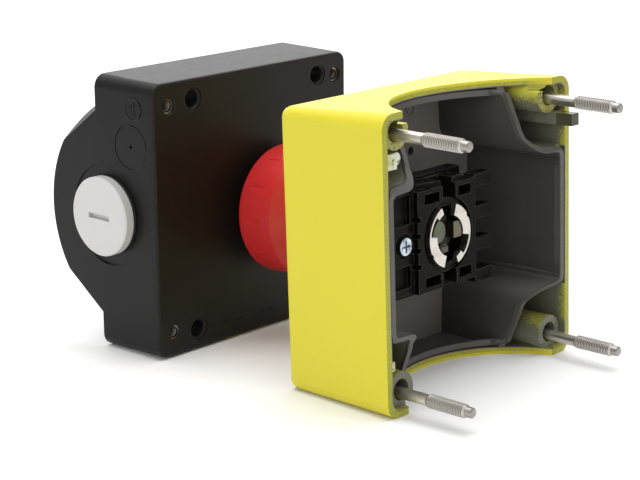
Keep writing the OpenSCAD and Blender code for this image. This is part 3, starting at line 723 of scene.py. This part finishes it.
def insert_thread(name, sx, sz):
    """Thread inside a cast-in insert, just proud of its plain bore."""
    pitch, root, crest = 0.7, INSERT_BORE + 0.05, INSERT_BORE - 0.22
    start, end, runout = INSERT_BACK + 0.2, INSERT_FRONT - 0.3, 0.3

    def radius(y, tooth):
        fade = min(1.0, (y - start) / runout, (end - y) / runout)
        return root + (crest - root) * tooth * fade

    rows = thread_rows(pitch, start, end, 32, 1, radius)
    seat = to_base @ Matrix.Translation(metres(sx * SCREW_Z + SCREW_SHIFT, 0, sz * SCREW_X))
    mesh_piece(name, *grid(rows), "insert_steel", "base", seat, closed=False)


for side_x, side_z, corner in corners("top", "bottom"):
    thread("thread_" + corner, "cover_screw_" + corner, side_x, side_z)
for side_x, side_z, corner in corners("upper", "lower"):
    insert_thread("insert_thread_" + corner, side_x, side_z)


def coil(name, node, body, place, x, low, high, radius, wire, turns):
    """A wound compression spring with flat end turns, which stands for its plain tube."""
    steps_per_turn, sides = 28, 10
    steps = int(turns * steps_per_turn)
    first, last = low + wire, high - wire
    end_turn = 1.0 / turns
    rows = []
    for i in range(steps + 1):
        along = i / steps
        angle = 2 * math.pi * turns * along
        climbed = min(1.0, max(0.0, (along - end_turn) / (1 - 2 * end_turn)))
        y = first + (last - first) * climbed
        row = []
        for k in range(sides):
            around = 2 * math.pi * k / sides
            out = radius + wire * math.cos(around)
            rise = wire * math.sin(around)
            row.append((x + out * math.cos(angle), y + rise, out * math.sin(angle)))
        rows.append(row)
    piece = mesh_piece(name, *grid(rows, close_ends=True), "spring_steel", body, place)
    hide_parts(node)
    return piece


# the actuator's spring
low, high = LEDGE + 2, COVER_DEPTH
spring = coil("actuator_spring", "return_spring", "cover", to_cover, 0, low, high,
              radius=6.8, wire=0.4, turns=6.5)
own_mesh(spring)
# the springs under the contact bridges
low, high = CARRIER_TOP + 3, BLOCK_TOP - 14.1
for side, sign in (("left", -1), ("right", 1)):
    spring = coil("bridge_coil_" + side, "bridge_spring_" + side, "base", to_base,
                  sign * BLOCK_X, low, high, radius=1.7, wire=0.2, turns=6)
    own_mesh(spring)

# bayonet ring: two equal arcs, each with a notched outside, a wide jaw, a thin bow and an
# inward tab, as (radius, first angle, last angle, steps)
NOTCH = 0.35
jaw = []
for r, start, end, steps in (
    (RING_OUT, -68, 26, 30),
    (RING_OUT - NOTCH, 27, 33, 3),
    (RING_OUT, 34, 72, 14),
    (JAW_IN, 72, -6, 24),
    (BOW_IN, -8, -47, 14),
    (TAB_IN, -48, -68, 8),
):
    jaw += arc(r, start, end, steps=steps)
opposite = [(-x, -z) for x, z in jaw]
ring_front = RING_BACK + RING_THICK
shape = prisms((jaw, RING_BACK, ring_front), (opposite, RING_BACK, ring_front))
ring = mesh_piece("bayonet_ring", *shape, "lock_steel", "cover", to_cover)
soften(ring, 0.12)
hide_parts("lock_ring")

# pusher: everything stays inside the ring's jaws, so that it can pass between them
clear = JAW_IN - 0.25
disc_back, disc_front, pads_front = RING_BACK + 4, RING_BACK + 6, RING_BACK + 4.5
shape = prisms(
    (circle(clear), disc_back, disc_front),
    (within(box(*BAR), clear), RING_BACK + 2.6, pads_front),
    (within(circle(PAD_R + 0.9, (PAD_X, PAD_Z)), clear), RING_BACK + 3, pads_front),
    (within(circle(PAD_R, (PAD_X, PAD_Z)), clear), RING_BACK + 1.9, pads_front),
    (within(box(*SQUARE_PAD), clear), RING_BACK + 0.4, pads_front),
    (within(box(*RAMP), clear), RING_BACK + 1.6, pads_front),
)
pads = mesh_piece("pusher_face", *shape, "pusher_plastic", "stem", to_cover)
soften(pads, 0.2)
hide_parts("stem_pusher")

# the side walls' lining as (distance from the middle, depth), the height that it runs
# straight to, and the height where it ends
LINING = ((40.05, 0.5), (38.45, 0.5), (38.6, 4.5), (38.85, 9.0), (39.05, 14.0),
          (39.6, 14.0), (40.05, 6.0))
LINING_STRAIGHT, LINING_END = 20.2, 21.6
# the corner fillets' radius, what they touch, and the depths of their sections
FILLET_R, FILLET_TOP, FILLET_SIDE, FILLET_LEAN = 3.4, 21.7, 39.35, 0.031
FILLET_DEPTHS = (2.9, 6.5, 16.0, 26.0, 35.6)
# the sealing bead's turn from an arc's end to the corner wall's lip, as (x, y, z)
BEAD_TURN = ((23.4, 15.0, 38.3), (24.6, 13.7, 38.3), (25.3, 12.3, 38.1), (25.6, 10.9, 37.4))
BEAD_R, BEAD_SIDES = 0.92, 12


def side_lining(name, sx):
    """Runs a side wall smoothly up to the lip at its rim, in the wall's own finish."""
    rows = []
    for z in (-LINING_END, -LINING_STRAIGHT, LINING_STRAIGHT, LINING_END):
        rise = max(0.0, abs(z) - LINING_STRAIGHT)
        rows.append([(sx * x, y + rise, z) for x, y in LINING])
    shape = grid(rows, close_ends=True)
    soften(mesh_piece(name, *shape, "cover_paint", "cover", to_cover), 0.1)


def corner_fillet(name, sx, sz):
    """Rounds the inner corner where a side wall meets a corner wall."""
    into_side, into_top = 0.4, 0.2
    straight_to = FILLET_DEPTHS[1]
    rows = []
    for y in FILLET_DEPTHS:
        side = FILLET_SIDE - FILLET_LEAN * max(0.0, y - straight_to)
        left, below = side - FILLET_R, FILLET_TOP - FILLET_R
        outline = arc(FILLET_R, 0, 90, (left, below), steps=10)
        outline += [
            (left, FILLET_TOP + into_top),
            (side + into_side, FILLET_TOP + into_top),
            (side + into_side, below),
        ]
        rows.append([(sx * x, y, sz * z) for x, z in outline])
    shape = grid(rows, close_ends=True)
    soften(mesh_piece(name, *shape, "cover_paint", "cover", to_cover), 0.1)


def bead_corner(name, sx, sz):
    """Carries the sealing bead round from an arc's end down to the corner wall's lip."""
    path = [Vector(point) for point in BEAD_TURN]
    angles = [2 * math.pi * k / BEAD_SIDES for k in range(BEAD_SIDES)]
    rows = []
    for k, centre in enumerate(path):
        ahead = (path[min(k + 1, len(path) - 1)] - path[max(k - 1, 0)]).normalized()
        across = Vector((0, 0, 1)).cross(ahead).normalized()
        rise = ahead.cross(across)
        ring = [centre + BEAD_R * (across * math.cos(a) + rise * math.sin(a)) for a in angles]
        rows.append([(sx * p.x, p.y, sz * p.z) for p in ring])
    shape = grid(rows, close_ends=True)
    mesh_piece(name, *shape, "seal_rubber", "cover", to_cover)


for side_x, side in ((-1, "left"), (1, "right")):
    side_lining("side_lining_" + side, side_x)
    for side_z, level in ((1, "upper"), (-1, "lower")):
        corner_fillet("corner_fillet_" + level + "_" + side, side_x, side_z)
        bead_corner("bead_corner_" + level + "_" + side, side_x, side_z)

# the stage, in metres: half of the floor's side, the world's strength, and the area lights
# as (name, place, height that it points at, size, watts)
FLOOR_HALF, WORLD_STRENGTH = 6.0, 0.62
LIGHTS = (
    ("overhead", (0.10, 0.12, 1.15), 0.04, (1.3, 1.1), 15),
    ("left_fill", (-1.2, -0.15, 0.55), 0.04, (0.9, 0.7), 3.1),
    ("rear_fill", (0.35, -1.2, 0.5), 0.04, (0.8, 0.6), 1),
    ("backdrop", (1.0, 1.3, 0.5), 0.08, (2.0, 0.9), 9.5),
)
# the camera fitted to the photo: place in metres, turn, tilt and roll in degrees, and
# focal length in pixels of its frame
CAMERA_PLACE = (-0.396498, -0.360621, 0.177651)
YAW, TILT, ROLL = (math.radians(angle) for angle in (47.31, 14.931, -0.468))
FOCAL_PIXELS, FRAME_PIXELS, SENSOR, FAR_END = 1832.67, 640, 36, 20


def place_floor():
    r = FLOOR_HALF
    mesh = bpy.data.meshes.new("floor")
    mesh.from_pydata([(-r, -r, 0), (r, -r, 0), (r, r, 0), (-r, r, 0)], [], [(0, 1, 2, 3)])
    floor = bpy.data.objects.new("floor", mesh)
    bpy.context.scene.collection.objects.link(floor)
    s = Shader("pale_floor", Specular_IOR_Level=0.2)
    s.colour(s.mix(s.noise(0.01, 3, 0.5), (0.86, 0.86, 0.86), (0.88, 0.88, 0.88)))
    s.rough(0.75)
    floor.data.materials.append(s.mat)


def light_stage():
    world = bpy.data.worlds.new("studio")
    world.use_nodes = True
    background = world.node_tree.nodes["Background"]
    background.inputs["Color"].default_value = (1, 1, 1, 1)
    background.inputs["Strength"].default_value = WORLD_STRENGTH
    bpy.context.scene.world = world
    for name, place, aim, size, watts in LIGHTS:
        data = bpy.data.lights.new(name, "AREA")
        data.shape = "RECTANGLE"
        data.size, data.size_y = size
        data.energy = watts
        lamp = bpy.data.objects.new(name, data)
        bpy.context.scene.collection.objects.link(lamp)
        lamp.location = place
        lamp.rotation_mode = "QUATERNION"
        towards = Vector((0, 0, aim)) - Vector(place)
        lamp.rotation_quaternion = towards.to_track_quat("-Z", "Y")


def place_camera():
    flat = math.cos(TILT)
    ahead = Vector((math.sin(YAW) * flat, math.cos(YAW) * flat, -math.sin(TILT)))
    level = ahead.cross(Vector((0, 0, 1))).normalized()
    upright = level.cross(ahead)
    right = level * math.cos(ROLL) + upright * math.sin(ROLL)
    up = upright * math.cos(ROLL) - level * math.sin(ROLL)
    data = bpy.data.cameras.new("camera")
    data.sensor_width = SENSOR
    data.lens = FOCAL_PIXELS * SENSOR / FRAME_PIXELS
    data.clip_end = FAR_END
    camera = bpy.data.objects.new("camera", data)
    bpy.context.scene.collection.objects.link(camera)
    turn = Matrix((right, up, -ahead)).transposed().to_4x4()
    camera.matrix_world = Matrix.Translation(CAMERA_PLACE) @ turn
    bpy.context.scene.camera = camera


place_floor()
light_stage()
place_camera()
bpy.context.scene.view_settings.view_transform = "Standard"
